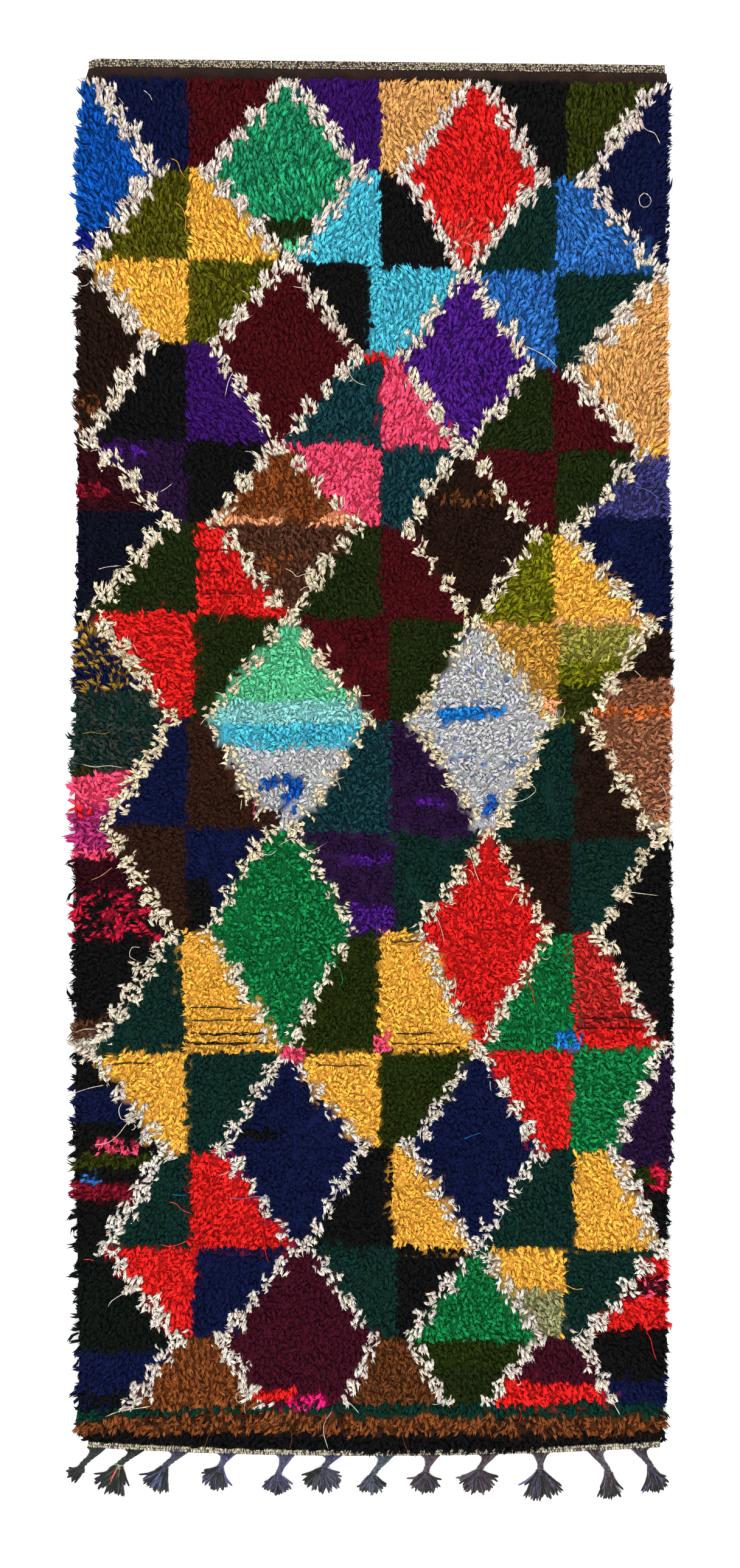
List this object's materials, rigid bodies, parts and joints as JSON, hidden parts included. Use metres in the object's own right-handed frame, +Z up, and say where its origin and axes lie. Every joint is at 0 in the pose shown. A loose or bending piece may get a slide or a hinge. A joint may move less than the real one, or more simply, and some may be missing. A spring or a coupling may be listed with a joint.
{
  "type": "moroccan rug",
  "caption": "Long hand-knotted shag runner lying flat, with a lattice of stepped lozenges, a flat-woven band and twining at one end, and plaited warp tassels at the other.",
  "frame": {"origin": "on the floor under the middle of the whole rug, tassels included", "axes": "+X across the rug, +Y along it from the tassels to the flat-woven end, +Z up out of the pile"},
  "size_m": [1.1543, 2.7256, 0.0232],
  "materials": {
    "ground_weave": "dark brown weft-faced wool, matt",
    "shag_pile": "long twisted wool yarns in many colours, lying mostly one way, soft sheen",
    "twined_yarn": "cream wool yarns twined with dark ones, matt",
    "warp_tassels": "plaited wool warps in muted greys, blues and browns, cut ends, matt"
  },
  "bodies": {
    "root": {"ground_weave": "ground_weave", "pile_field": "shag_pile", "heading_twining": "twined_yarn", "end_twining": "twined_yarn", "tassel_01": "warp_tassels", "tassel_02": "warp_tassels", "tassel_03": "warp_tassels", "tassel_04": "warp_tassels", "tassel_05": "warp_tassels", "tassel_06": "warp_tassels", "tassel_07": "warp_tassels", "tassel_08": "warp_tassels", "tassel_09": "warp_tassels", "tassel_10": "warp_tassels", "tassel_11": "warp_tassels", "tassel_12": "warp_tassels"}
  },
  "joints": []
}
